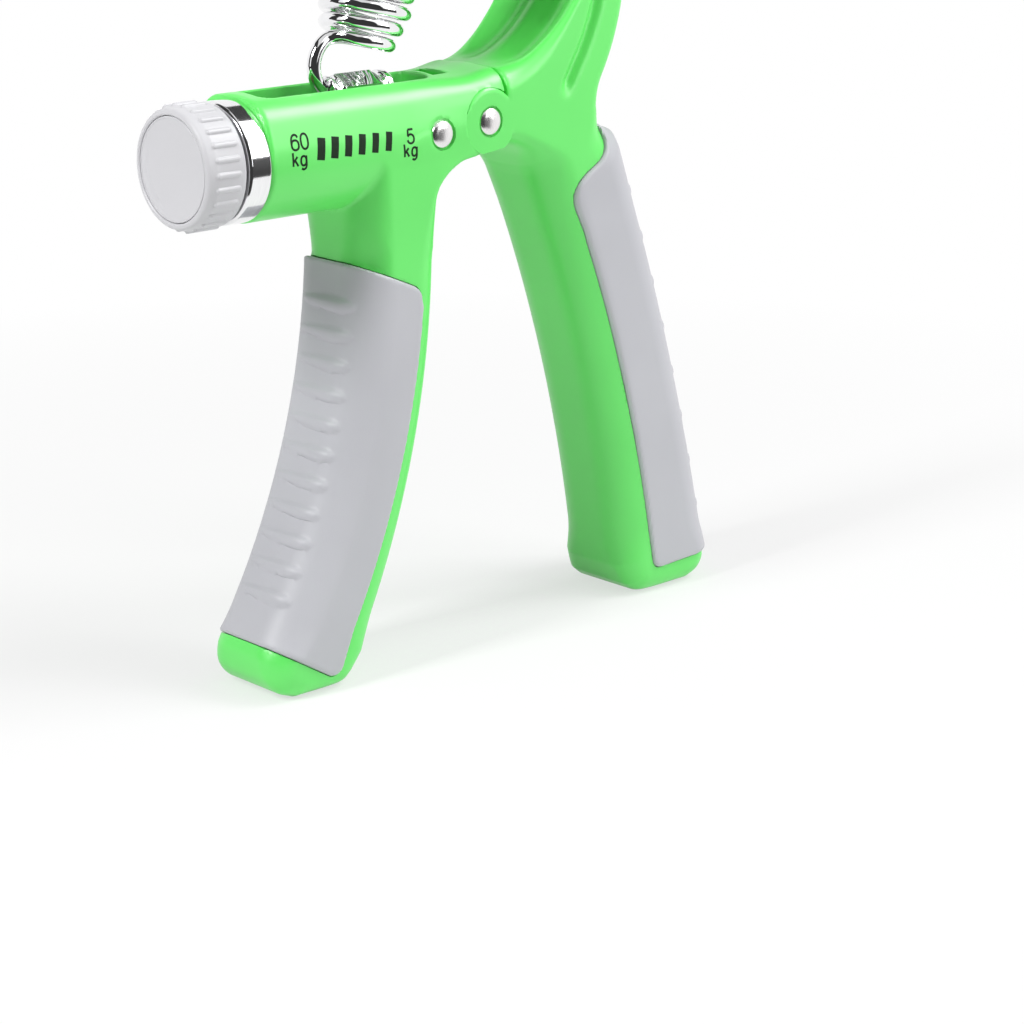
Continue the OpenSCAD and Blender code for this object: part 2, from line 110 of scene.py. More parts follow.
def put(tree, slot, value):
    """Links a wire to a socket, or sets its value"""
    if isinstance(value, Wire):
        tree.links.new(value.socket, slot)
    else:
        slot.default_value = value


def set_stops(colour_ramp, stops):
    """Gives a colour ramp its (position, colour) stops"""
    marks = colour_ramp.elements
    while len(marks) < len(stops):
        marks.new(0.5)
    for mark, (at, colour) in zip(marks, stops):
        mark.position = at
        mark.color = tuple(colour) + (1.0,)


def add_node(tree, kind, settings=None, out=0, inputs=(), **sockets):
    """Any node: its settings first, then its sockets in order or by name; gives one output"""
    node = tree.nodes.new(kind)
    for key, value in (settings or {}).items():
        if key == "stops":
            set_stops(node.color_ramp, value)
        else:
            setattr(node, key, value)
    for slot, value in zip(node.inputs, inputs):
        put(tree, slot, value)
    for key, value in sockets.items():
        put(tree, node.inputs[key.replace("_", " ")], value)
    return Wire(tree, node.outputs[out]) if len(node.outputs) else None


class Finish:
    """A material under construction, round one Principled BSDF"""

    def __init__(self, name, **fixed):
        self.material = bpy.data.materials.new(name)
        self.material.use_nodes = True
        self.tree = self.material.node_tree
        self.shader = self.tree.nodes["Principled BSDF"]
        for socket, value in fixed.items():
            self.shader.inputs[socket.replace("_", " ")].default_value = value
        self.place = self.add("ShaderNodeTexCoord", out="Object")

    def add(self, kind, settings=None, out=0, **sockets):
        """A node in this material's tree"""
        return add_node(self.tree, kind, settings, out, **sockets)

    def ramp(self, factor, stops):
        """A colour ramp through (position, colour) stops"""
        return self.add("ShaderNodeValToRGB", {"stops": stops}, "Color", Fac=factor)

    def stretched(self, scale):
        """Object coordinates scaled along X, Y and Z"""
        return self.add("ShaderNodeMapping", Vector=self.place, Scale=scale)

    def noise(self, scale, detail=2.0, vector=None, roughness=0.5):
        """Noise about 0.5, with a size of 1 / scale metres"""
        return self.add("ShaderNodeTexNoise", Vector=vector or self.place, Scale=scale,
                        Detail=detail, Roughness=roughness)

    def feed(self, **sockets):
        """Links wires to the shader's own sockets"""
        for key, value in sockets.items():
            put(self.tree, self.shader.inputs[key.replace("_", " ")], value)
        return self

    def bump(self, height, depth_mm, strength=1.0):
        """A bump of the given depth that feeds the shader's normal"""
        normal = self.add("ShaderNodeBump", Height=height, Distance=depth_mm * MM, Strength=strength)
        return self.feed(Normal=normal)


def moulded(name, dark, light, rough, grain_mm, fine=5200.0, shine=0.5):
    """Moulded plastic: slow drift of tint and gloss, and a fine spark-eroded grain"""
    f = Finish(name, Specular_IOR_Level=shine)
    tint = f.ramp(f.noise(38.0, 2.0), [(0.3, dark), (0.7, light)])
    gloss = rough - 0.04 + 0.08 * f.noise(160.0, 3.0)
    f.feed(Base_Color=tint, Roughness=gloss)
    return f.bump(f.noise(fine, 2.0), grain_mm).material


green_shell = moulded("green_shell", (0.12, 0.78, 0.126), (0.132, 0.82, 0.138), 0.34, 0.008,
                       shine=0.8)
grey_cover = moulded("grey_cover", (0.47, 0.472, 0.505), (0.5, 0.502, 0.535), 0.46, 0.016, 4200.0)
grey_knob = moulded("grey_knob", (0.57, 0.568, 0.59), (0.6, 0.598, 0.62), 0.4, 0.012, 4600.0)


def polished(name, tint, rough, streak=(300.0, 300.0, 300.0), lift=0.03):
    """Bright plated metal with faint haze drawn out along one way"""
    f = Finish(name, Metallic=1.0)
    haze = f.noise(1.0, 3.0, f.stretched(streak))
    f.feed(Base_Color=f.ramp(haze, [(0.25, [0.9 * v for v in tint]), (0.75, tint)]),
           Roughness=rough + lift * haze)
    return f.material


chrome = polished("chrome", (0.93, 0.93, 0.94), 0.04)
ring_chrome = polished("ring_chrome", (0.93, 0.93, 0.94), 0.07, (6000.0, 260.0, 260.0), 0.06)
rivet_steel = polished("rivet_steel", (0.9, 0.88, 0.88), 0.24)
plain_steel = polished("plain_steel", (0.66, 0.67, 0.69), 0.28, (2400.0, 300.0, 300.0), 0.1)
turned_brass = polished("turned_brass", (0.84, 0.68, 0.38), 0.24, (2400.0, 300.0, 300.0), 0.08)


def scale_ink():
    """Pad-printed ink: nearly black, slightly uneven, with a soft gloss"""
    f = Finish("scale_ink", Specular_IOR_Level=0.2)
    tint = f.ramp(f.noise(900.0, 3.0), [(0.3, (0.003, 0.014, 0.004)), (0.7, (0.009, 0.026, 0.009))])
    f.feed(Base_Color=tint, Roughness=0.5 + 0.1 * f.noise(400.0))
    return f.material


black_ink = scale_ink()

node_finish = {
    "knob_ferrule": ring_chrome, "screw_bush": turned_brass, "screw_end_bearing": plain_steel,
    "bearing_rivet": rivet_steel, "bearing_rivet_cap": rivet_steel, "pivot_bush": plain_steel,
    "pivot_rivet": rivet_steel, "pivot_rivet_cap": rivet_steel, "pivot_washers": plain_steel,
    "spring_anchor_pin": plain_steel, "knob": grey_knob, "knob_face_cap": grey_knob,
    "knob_clamp_screw": plain_steel, "adjusting_screw": plain_steel, "thrust_washer": plain_steel,
    "spring_carrier": chrome, "travel_nut": turned_brass, "tension_spring": chrome,
    "front_handle": green_shell, "rear_handle": green_shell, "front_grip": grey_cover,
    "rear_grip": grey_cover,
}
for node_name, finish in node_finish.items():
    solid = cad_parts[node_name]
    solid.data.materials.clear()
    solid.data.materials.append(finish)


# ---------------------------------------------------------------- mesh making
SHARP_EDGE = math.radians(38.0)


def make_piece(name, shapes, body, finish, replaced=()):
    """Puts shapes, each an array of points in mm and one of quads, into one smooth-shaded object
    that rides on a body"""
    first, points, faces = 0, [], []
    for spots, quads in shapes:
        points.append(np.asarray(spots, dtype=float))
        faces.append(np.asarray(quads) + first)
        first += len(spots)
    mesh = bpy.data.meshes.new(name)
    mesh.from_pydata(np.vstack(points) * MM, [], np.vstack(faces), shade_flat=False)
    mesh.set_sharp_from_angle(angle=SHARP_EDGE)
    mesh.update()
    mesh.materials.append(finish)
    obj = bpy.data.objects.new(name, mesh)
    bpy.context.collection.objects.link(obj)
    if body:
        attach(obj, body)
    if replaced:
        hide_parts(*replaced)
    return obj


def grid_faces(rows, columns, round_rows=False, round_columns=True):
    """Quads of a grid of points, row after row; a round direction joins its last to its first"""
    row, column = np.meshgrid(np.arange(rows if round_rows else rows - 1),
                              np.arange(columns if round_columns else columns - 1), indexing="ij")
    next_row, next_column = (row + 1) % rows, (column + 1) % columns
    return np.stack([row * columns + column, row * columns + next_column,
                     next_row * columns + next_column, next_row * columns + column],
                    axis=-1).reshape(-1, 4)


def turned(profile, across=lambda x, r, a: r, sides=96, place=(0.0, AXIS_Z)):
    """A profile of (x, r) points, from axis to axis, carried once round the X axis.

    The point at angle a, from the near side upwards, is (x, -r cos a, r sin a); across(x, r, a)
    may change r over the surface. The profile runs towards +X, with the solid inside.
    """
    profile = np.asarray(profile, dtype=float)
    a = np.linspace(0.0, 2.0 * math.pi, sides, endpoint=False)[None, :]
    x, r = profile[:, 0:1] + 0.0 * a, profile[:, 1:2] + 0.0 * a
    r = across(x, r, a)
    points = np.stack([x, place[0] - r * np.cos(a), place[1] + r * np.sin(a)], axis=-1)
    return points.reshape(-1, 3), grid_faces(len(profile), sides)[:, ::-1]


def onto_y(shape, x, z, far):
    """A shape turned round X, turned again so that its axis is Y at (x, z), facing far or near"""
    points, faces = shape
    along, near, up = points.T
    if far:
        return np.stack([x + near, -along, z + up], axis=-1), faces
    return np.stack([x - near, along, z + up], axis=-1), faces


def tube(path, radius, sides=20):
    """A round section carried along a path without twist, with a domed cap at each end"""
    path = np.asarray(path, dtype=float)
    way = np.gradient(path, axis=0)
    way /= np.linalg.norm(way, axis=1, keepdims=True)
    normal, across = np.array([0.0, 1.0, 0.0]), []
    for t in way:
        normal = normal - (normal @ t) * t
        normal = normal / np.linalg.norm(normal)
        across.append(normal)
    across = np.array(across)
    other = np.cross(way, across)
    cap = np.radians([89.0, 60.0, 30.0])
    centres = np.vstack([path[0] - way[0] * radius * 0.5 * np.sin(cap)[:, None], path,
                         path[-1] + way[-1] * radius * 0.5 * np.sin(cap[::-1])[:, None]])
    sizes = np.concatenate([np.cos(cap), np.ones(len(path)), np.cos(cap[::-1])]) * radius
    n = np.vstack([across[:1].repeat(3, 0), across, across[-1:].repeat(3, 0)])
    m = np.vstack([other[:1].repeat(3, 0), other, other[-1:].repeat(3, 0)])
    a = np.linspace(0.0, 2.0 * math.pi, sides, endpoint=False)[None, :, None]
    points = centres[:, None, :] + sizes[:, None, None] * (
        n[:, None, :] * np.cos(a) + m[:, None, :] * np.sin(a))
    return points.reshape(-1, 3), grid_faces(len(centres), sides)


# ---------------------------------------------------------------- distance functions
def round_cut(a, b, radius):
    """Common part of two solids, with their meeting edge rounded to a radius"""
    return np.minimum(np.maximum(a, b), -radius) + np.hypot(
        np.maximum(a + radius, 0.0), np.maximum(b + radius, 0.0))


def round_join(a, b, radius):
    """Union of two solids, with a fillet of a radius in the corner between them"""
    return -round_cut(-a, -b, radius)


def ramp_up(value, start, end):
    """0 before start, 1 after end, and a smooth S between them"""
    t = np.clip((value - start) / (end - start), 0.0, 1.0)
    return t * t * (3.0 - 2.0 * t)


def between(first, second, share):
    """The first value at a share of 0, the second at 1"""
    return first + (second - first) * share


def rounded_box(across, up, radius):
    """Distance to a rectangle with rounded corners, from the distances beyond its two sides"""
    across, up = across + radius, up + radius
    return (np.hypot(np.maximum(across, 0.0), np.maximum(up, 0.0))
            + np.minimum(np.maximum(across, up), 0.0) - radius)


def outline_gap(x, z, outline):
    """Signed distance to a closed outline in the XZ plane, negative inside, by the nearest side
    and the parity of crossings"""
    points = np.asarray(outline, dtype=float)
    nearest = np.full(np.broadcast(x, z).shape, 1e9)
    inside = np.zeros(nearest.shape, dtype=bool)
    for (ax, az), (bx, bz) in zip(points, np.roll(points, -1, axis=0)):
        ex, ez = bx - ax, bz - az
        px, pz = x - ax, z - az
        t = np.clip((px * ex + pz * ez) / (ex * ex + ez * ez + 1e-12), 0.0, 1.0)
        nearest = np.minimum(nearest, (px - t * ex) ** 2 + (pz - t * ez) ** 2)
        if abs(ez) > 1e-12:
            crosses = (az > z) != (bz > z)
            inside ^= crosses & (x < ex * (z - az) / ez + ax)
    gap = np.sqrt(nearest)
    return np.where(inside, -gap, gap)


def path_gap(x, z, path):
    """Distance to an open path in the XZ plane, and how far along it the nearest point is, 0 to 1"""
    points = np.asarray(path, dtype=float)
    steps = np.linalg.norm(np.diff(points, axis=0), axis=1)
    before = np.concatenate([[0.0], np.cumsum(steps)])
    nearest = np.full(np.broadcast(x, z).shape, 1e9)
    along = np.zeros(nearest.shape)
    for k, (a, b) in enumerate(zip(points[:-1], points[1:])):
        e = b - a
        px, pz = x - a[0], z - a[1]
        t = np.clip((px * e[0] + pz * e[1]) / (e @ e), 0.0, 1.0)
        gap = (px - t * e[0]) ** 2 + (pz - t * e[1]) ** 2
        closer = gap < nearest
        nearest = np.where(closer, gap, nearest)
        along = np.where(closer, (before[k] + t * steps[k]) / before[-1], along)
    return np.sqrt(nearest), along


def smooth_path(points, per_side=6):
    """A path through the points, curved by Catmull and Rom's rule"""
    p = np.asarray(points, dtype=float)
    p = np.vstack([2 * p[0] - p[1], p, 2 * p[-1] - p[-2]])
    t = np.linspace(0.0, 1.0, per_side, endpoint=False)[None, :, None]
    a, b, c, d = (p[k:len(p) - 3 + k, None, :] for k in range(4))
    curve = 0.5 * (2 * b + (c - a) * t + (2 * a - 5 * b + 4 * c - d) * t ** 2
                   + (3 * b - a - 3 * c + d) * t ** 3)
    return np.vstack([curve.reshape(-1, p.shape[1]), p[-2:-1]])


def rounded_corner(before, corner, after, radius, points=6):
    """Points of an arc that rounds a corner between its two neighbours"""
    before, corner, after = (np.asarray(p, dtype=float) for p in (before, corner, after))
    u = (before - corner) / np.linalg.norm(before - corner)
    v = (after - corner) / np.linalg.norm(after - corner)
    half = math.acos(float(np.clip(u @ v, -1, 1))) / 2
    reach = radius / math.tan(half)
    middle = corner + (u + v) / np.linalg.norm(u + v) * radius / math.sin(half)
    start, end = corner + u * reach - middle, corner + v * reach - middle
    t = np.linspace(0.0, 1.0, points)[:, None]
    total = math.acos(float(np.clip(start @ end / radius ** 2, -1, 1)))
    arc = (np.sin((1 - t) * total) * start + np.sin(t * total) * end) / math.sin(total)
    return middle + arc


PROBE = 0.02  # Step in mm that gives a field's slope
PULL_TO_MEAN = 0.04  # How hard a vertex is drawn to the mean of its crossings


def lay_skin(field, low, high, cell):
    """Closed skin of quads over the solid where field(x, y, z) < 0, inside a box in mm.

    Each edge of the grid that the surface crosses gives a point on it, and the field's slope
    there. Each cell gets one vertex, where the planes through its crossings meet by least squares,
    so that creases stay sharp, and each crossed edge gets the quad of its four cells.
    """
    start = np.array(low, dtype=float) - cell
    axes = [np.arange(a, b + 1.5 * cell, cell) for a, b in zip(start, high)]
    value = np.broadcast_to(field(axes[0][:, None, None], axes[1][None, :, None],
                                  axes[2][None, None, :]), [len(a) for a in axes])
    solid = value < 0
    size = np.array(value.shape) - 1
    ring = np.array([(-1, -1), (0, -1), (0, 0), (-1, 0)])
    spots, codes = [], []
    for axis in range(3):
        u, v = (axis + 1) % 3, (axis + 2) % 3
        lower = [slice(None)] * 3
        upper = [slice(None)] * 3
        lower[axis], upper[axis] = slice(0, -1), slice(1, None)
        edge = np.argwhere(solid[tuple(lower)] != solid[tuple(upper)])
        end = edge.copy()
        end[:, axis] += 1
        here, there = value[tuple(edge.T)], value[tuple(end.T)]
        spot = edge.astype(float)
        spot[:, axis] += here / (here - there)
        around = np.repeat(edge[:, None, :], 4, axis=1)
        around[:, :, u] += ring[:, 0]
        around[:, :, v] += ring[:, 1]
        code = np.ravel_multi_index(tuple(around.reshape(-1, 3).T), tuple(size)).reshape(-1, 4)
        inward = here > 0
        code[inward] = code[inward][:, ::-1]
        spots.append(spot)
        codes.append(code)
    spots, codes = np.vstack(spots), np.vstack(codes)
    cells, faces = np.unique(codes, return_inverse=True)
    faces = faces.reshape(-1, 4)

    place = start + spots * cell
    x, y, z = place.T
    rest = field(x, y, z)
    slope = np.stack([field(x + PROBE, y, z) - rest, field(x, y + PROBE, z) - rest,
                      field(x, y, z + PROBE) - rest], axis=1) / PROBE
    steep = np.maximum(np.linalg.norm(slope, axis=1, keepdims=True), 0.2)
    normal = slope / steep
    place = place - normal * np.clip(rest[:, None] / steep, -0.3 * cell, 0.3 * cell)

    member, count = faces.ravel(), len(cells)
    hits = np.bincount(member, minlength=count)

    def total(values):
        """Sum of a value over the crossings of each cell"""
        return np.bincount(member, weights=np.repeat(values, 4), minlength=count)

    mean = np.stack([total(place[:, n]) for n in range(3)], axis=1) / hits[:, None]
    level = (normal * place).sum(axis=1)
    matrix = np.empty((count, 3, 3))
    right = np.empty((count, 3))
    for n in range(3):
        right[:, n] = total(normal[:, n] * level)
        for m in range(n, 3):
            matrix[:, n, m] = matrix[:, m, n] = total(normal[:, n] * normal[:, m])
    right -= np.einsum("nij,nj->ni", matrix, mean)
    matrix += (PULL_TO_MEAN * hits)[:, None, None] * np.eye(3)
    points = mean + np.linalg.solve(matrix, right[:, :, None])[:, :, 0]
    corner = start + np.stack(np.unravel_index(cells, tuple(size)), axis=1) * cell
    return np.clip(points, corner, corner + cell), faces


# ---------------------------------------------------------------- outlines of the handles
class Arc:
    """An arc seen from the side: it starts at (x, z) with a lean from the vertical and runs down"""

    def __init__(self, x, z, lean_top, lean_bottom, length):
        self.top = math.radians(lean_top)
        self.radius = length / math.radians(lean_bottom - lean_top)
        self.centre = (x - self.radius * math.cos(self.top), z + self.radius * math.sin(self.top))

    def point(self, along, outward=0.0):
        """The point a length along the arc, and a distance beyond it"""
        a = self.top + np.asarray(along, dtype=float) / self.radius
        r = self.radius + outward
        return np.stack([self.centre[0] + r * np.cos(a), self.centre[1] - r * np.sin(a)], axis=-1)

    def gap(self, x, z):
        """Distance beyond the arc on its outer, +X side"""
        return np.hypot(x - self.centre[0], z - self.centre[1]) - self.radius

    def along(self, x, z):
        """Length along the arc to the point of it that is nearest"""
        return (np.arctan2(self.centre[1] - z, x - self.centre[0]) - self.top) * self.radius


FRONT_OUTER = Arc(-32.6, 92, 0.6, 35.4, 91.8)
FRONT_INNER = Arc(-11.6, 92, -0.4, 29, 91.8)
REAR_OUTER = Arc(40.5, 104, -22, -11.8, 104)
REAR_INNER = Arc(16.4, 98, -24.3, -7.4, 97)
LEG_HALF = 11.8
HUB_HALF = 12.2
BARREL_R = 12.2
SHOULDER_R = 5.4
FOOT_EDGE = 4.5
# Hinge: the seam on top and its gap, the round ears, the tongue between them, the rivet heads' seats
SEAM_X, SEAM_GAP, HINGE_TOP = 4.5, 0.8, 126.0
EAR_R, TONGUE_HALF = 6.8, 8.2
HEAD_SEAT_R, HEAD_SEAT_Y = 3.2, 11.6
# Eye at the arch's tip, and the fork in it for the spring's hook
EYE_R, EYE_HALF, FORK_HALF = 5.2, 7.0, 2.6
# Barrel: slot for the carrier, small window beside it, bore
SLOT_X, SLOT_HALF_LONG, SLOT_HALF_WIDE, SLOT_FLOOR = -31.0, 21.5, 5.4, AXIS_Z + 5.0
WINDOW_X, WINDOW_FLOOR = -6.2, AXIS_Z + 8.2
BORE_R, BORE_END = 7.5, -9.6
# Covers: how far they stand proud, how deep their bed is, and the gap round their rim
PROUD, BED, RIM_GAP = 0.7, 1.6, 0.16


def bend(start, way, turns):
    """A chain of arcs, each (radius, turn to the left in degrees), as points about 1 mm apart"""
    place, way = np.asarray(start, dtype=float), math.radians(way)
    out = [place]
    for radius, turn in turns:
        total = math.radians(turn)
        r = math.copysign(radius, total)
        steps = max(3, int(abs(radius * total)))
        a = way + total * np.arange(1, steps + 1) / steps
        arc = place + r * np.stack([np.sin(a) - math.sin(way), math.cos(way) - np.cos(a)], axis=-1)
        out.extend(arc)
        place, way = arc[-1], way + total
    return np.array(out)


ARCH_INNER = bend((5, 122.0), 12, [(33, 50), (13, 128), (70, 20)])
ARCH_OUTER = bend((32.15, 112.4), 90, [(11, -30), (50, 20), (27, 115), (180, 7)])
UNDERSIDE = smooth_path([(-11.6, 88), (-12.3, 92), (-13.0, 95.6), (-13.3, 98.2), (-12.7, 100.4),
                         (-10.6, 102.7), (-7.0, 104.6), (-3.4, 105.3), (0.5, 105.7), (6.0, 106.3)])

front_outline = np.vstack([
    FRONT_INNER.point(np.linspace(90, 4, 23)), UNDERSIDE[1:],
    [(6.0, 112.0), (-36.0, 112.0)],
    FRONT_OUTER.point(np.linspace(-18, 83, 24)),
    smooth_path([(-57.1, 11.0), (-57.75, 8.4), (-57.2, 4.6), (-54.9, 1.6), (-51.3, 0.0)], 4),
    smooth_path([(-50.0, 0.0), (-42.5, 0.0), (-38.9, 0.4), (-36.6, 2.0)], 4),
])
under_barrel = np.vstack([UNDERSIDE, [(30.0, 106.3), (30.0, 60.0), (-11.6, 60.0)]])

rear_outline = np.vstack([
    REAR_INNER.point(np.linspace(95, 0, 24)),
    smooth_path([(15.1, 100.4), (12.6, 103.6), (9.4, 105.9), (6.0, 107.0)]),
    [(-4.0, 107.2), (-4.0, 120.1)],
    ARCH_INNER,
    ARCH_OUTER[::-1],
    smooth_path([(32.9, 110.4), (33.9, 108.5), (35.3, 107.1), (37.3, 106.0), (39.4, 105.4)]),
    REAR_OUTER.point(np.linspace(0.6, 98, 24)),
    smooth_path([(69.7, 7.4), (69.0, 4.0), (66.6, 1.3), (63.0, 0.0)], 4),
    smooth_path([(61.0, 0.0), (52.0, 0.0), (47.6, 0.5), (44.8, 2.4)], 4),
])

front_zone = np.vstack([
    [(-75, 22.6), (-75, 104.8)],
    rounded_corner((-33.4, 86.8), (-18.3, 80.3), (-17.9, 70.0), 3.6),
    FRONT_INNER.point(np.linspace(16, 86, 20), -1.0 * np.linspace(5.7, 7.1, 20)),
    rounded_corner((-38.3, 9.6), (-42.1, 2.2), (-60, 13.3), 2.6),
])

rear_zone = np.vstack([
    smooth_path([(33.4, 107.4), (34.2, 105.4), (34.0, 103.4), (31.7, 100.6), (27.8, 98.2), (25.5, 96.1),
                 (24.7, 93.7), (25.2, 91.2), (26.4, 88.7), (27.9, 85.6)]),
    REAR_INNER.point(np.linspace(19, 87, 22), np.linspace(5.7, 7.2, 22)),
    rounded_corner((49.1, 12.4), (50.4, 5.6), (61.5, 6.0), 2.4),
    [(61.5, 6.0), (85, 7.6), (85, 109), (37, 108.2)],
])


# ---------------------------------------------------------------- handles and covers
def front_leg(x, y, z, scoop=0.0):
    """Front leg and hinge block: the side outline with rounded edges, its sides flush with the
    barrel; scoop is how deep a hollow is at each point of the sides"""
    flat = outline_gap(x, z, front_outline)
    inner_side = ramp_up(FRONT_INNER.gap(x, z) + FRONT_OUTER.gap(x, z), -6.0, 6.0)
    edge = between(8.0, 7.2, inner_side)
    edge = between(edge, FOOT_EDGE, 1.0 - ramp_up(z, 1.0, 15.0))
    edge = between(edge, 1.0, ramp_up(z, 84, 103) * ramp_up(x, -30, -16))
    half = between(LEG_HALF, HUB_HALF, ramp_up(z, 88, 103))
    side = np.hypot(y, np.maximum(z - AXIS_Z, 0.0)) - half
    return round_cut(flat, side + scoop, edge)


def neck_scoop(x, z, zone):
    """Depth of the hollow on each side of the neck: it grows away from the neck's front edge, ends in
    a wall that leaves a flush band towards the hinge, and fades out below the barrel and, to a third,
    under the cover"""
    wall = x + 0.32 * np.maximum(z - 88.0, 0.0)
    across = ramp_up(x, -36.0, -30.0) * (1.0 - ramp_up(wall, -30.0, -26.0))
    down = (1.0 - ramp_up(z, 85.0, 97.0)) * ramp_up(z, 70.0, 81.0)
    return 1.5 * across * down * (0.3 + 0.7 * ramp_up(zone, -1.0, 1.0))


def barrel_outside(x, y, z):
    """A cylinder with squared shoulders beside the slot, which grow wider towards the hinge, and
    a crest at the seam"""
    to_hinge = ramp_up(x, -20.0, -1.0)
    tube_gap = np.hypot(y, z - AXIS_Z) - BARREL_R
    wide = 10.2 + 1.9 * to_hinge
    crest = 1.35 * np.exp(-((x - SEAM_X) / 5.6) ** 2)
    up = np.abs(z - AXIS_Z - 5.0 - 0.5 * crest) - 7.0 - 0.5 * crest
    return round_join(tube_gap, rounded_box(np.abs(y) - wide, up, SHOULDER_R), 2.5)


def front_body(x, y, z, zone):
    """Front handle before its cover is let in: the leg joined to the barrel by a fillet that is
    tight at the neck's front corner"""
    leg = front_leg(x, y, z, neck_scoop(x, z, zone))
    barrel = round_cut(barrel_outside(x, y, z), np.abs(x + 25.7) - 30.25, 0.8)
    barrel = round_cut(barrel, -outline_gap(x, z, under_barrel), 1.0)
    fillet = 0.6 + 3.4 * ramp_up(x, -33.0, -27.0) * np.clip(1.0 - (y / 11.5) ** 2, 0.0, 1.0)
    return round_join(leg, barrel, fillet)


def front_shell(x, y, z):
    """Front handle: barrel with slot and bore, hinge tongue, leg with the cover's bed"""
    side = np.abs(y)
    zone = outline_gap(x, z, front_zone)
    body = front_body(x, y, z, zone)
    slot = rounded_box(np.abs(x - SLOT_X) - SLOT_HALF_LONG, side - SLOT_HALF_WIDE, 2.4)
    body = round_cut(body, -np.maximum(slot, SLOT_FLOOR - z), 0.7)
    window = np.maximum(np.abs(x - WINDOW_X) - 1.9, side - 4.2)
    body = round_cut(body, -np.maximum(window, WINDOW_FLOOR - z), 0.5)
    bore = np.maximum(np.hypot(y, z - AXIS_Z) - BORE_R, x - BORE_END)
    body = np.maximum(body, -bore)
    disc = np.hypot(x - PIVOT[0], z - PIVOT[1])
    body = round_cut(body, -np.maximum(disc - 6.85, TONGUE_HALF - side), 0.03)
    keep = np.minimum(np.minimum(x - PIVOT[0], disc - 6.4), np.maximum(x - SEAM_X, PIVOT[1] - z))
    body = round_cut(body, keep, 0.35)
    pin = np.hypot(x - BEARING[0], z - BEARING[1])
    body = np.maximum(body, -np.maximum(pin - HEAD_SEAT_R, HEAD_SEAT_Y - side))
    bed = np.maximum(zone, -front_leg(x, y, z) - BED)
    return round_cut(body, -bed, 0.25)


def ridge_height(along, y, first, pitch, count, tip, half_wide, rise):
    """Raised pods across a cover, a pitch apart: each swells from a point on the far side to a
    blunt tip on the near side, with a soft upper flank and a crisp lower edge"""
    number = np.clip(np.round((along - first) / pitch), 0, count - 1)
    off = along - first - pitch * number
    t = np.clip((tip - y) / (2.0 * tip), 0.0, 1.0)
    swell = t ** 0.55 * np.sqrt(1.0 - t ** 6)
    across = np.clip(off / (half_wide * swell + 0.2), -1.0, 1.0)
    flank = np.where(across > 0.0, np.sqrt(1.0 - across ** 2), np.cos(0.5 * math.pi * across) ** 2)
    return rise * swell * flank


def cover(leg, zone, ridges):
    """A cover: the shell between the bed and the proud face, within its zone"""
    outside = leg - PROUD - ridges
    shell = round_cut(outside, zone + RIM_GAP, 0.8)
    return np.maximum(shell, -(leg + BED - 0.1))


def front_cover(x, y, z):
    """Cover of the front leg, with a close row of pods on its outer face"""
    ridges = ridge_height(FRONT_OUTER.along(x, z), y, 13.9, 6.1, 11, 8.4, 2.0, 1.0)
    facing = ramp_up(-FRONT_OUTER.gap(x, z), -9.0, -4.0)
    return cover(front_leg(x, y, z), outline_gap(x, z, front_zone), ridges * facing)


GROOVE = smooth_path([(20.3, 114.4), (23.6, 119.8), (26.8, 125.1), (29.1, 130), (30.5, 134.1),
                      (31.4, 139), (31.2, 145), (29.2, 150.5), (25.2, 155), (19.5, 158.6),
                      (12.0, 160.0), (3.0, 158.6)], 4)


def rear_leg(x, y, z):
    """Rear handle's solid: side outline with rounded edges, fluted inside the arch, with a groove
    along each side of it, and thinner towards its tip"""
    side = np.abs(y)
    flat = outline_gap(x, z, rear_outline)
    gap_in, along_in = path_gap(x, z, ARCH_INNER)
    flute = 1.9 * np.sin(math.pi * np.clip(side / 11.6, 0, 1)) ** 2
    reach = ramp_up(along_in, 0.0, 0.12) * (1.0 - ramp_up(along_in, 0.8, 0.97))
    flat = flat + flute * reach * (1.0 - ramp_up(gap_in, 3.0, 7.0))
    groove, way = path_gap(x, z, GROOVE)
    depth = 1.35 * ramp_up(way, 0.0, 0.07) * (1.0 - ramp_up(way, 0.8, 1.0))
    hub = between(HUB_HALF, LEG_HALF, 1.0 - ramp_up(z, 88.0, 103.0))
    taper = 5.0 * ramp_up(along_in, 0.55, 1.0) * ramp_up(z, 135, 145)
    hub = hub - depth * np.exp(-(groove / 1.25) ** 2) - taper
    inner_side = ramp_up(REAR_INNER.gap(x, z) + REAR_OUTER.gap(x, z), -6.0, 6.0)
    leg_edge = between(8.5, 8.0, inner_side)
    leg_edge = between(leg_edge, FOOT_EDGE, 1.0 - ramp_up(z, 1.0, 15.0))
    inner_edge = 0.9 + 4.3 * (1.0 - ramp_up(along_in, 0.0, 0.3))
    arch_edge = between(inner_edge, 3.1, ramp_up(gap_in, 2.0, 7.0))
    high = ramp_up(z - 0.25 * (x - 10.0), 97.0, 108.0)
    return round_cut(flat, side - hub, between(leg_edge, arch_edge, high))


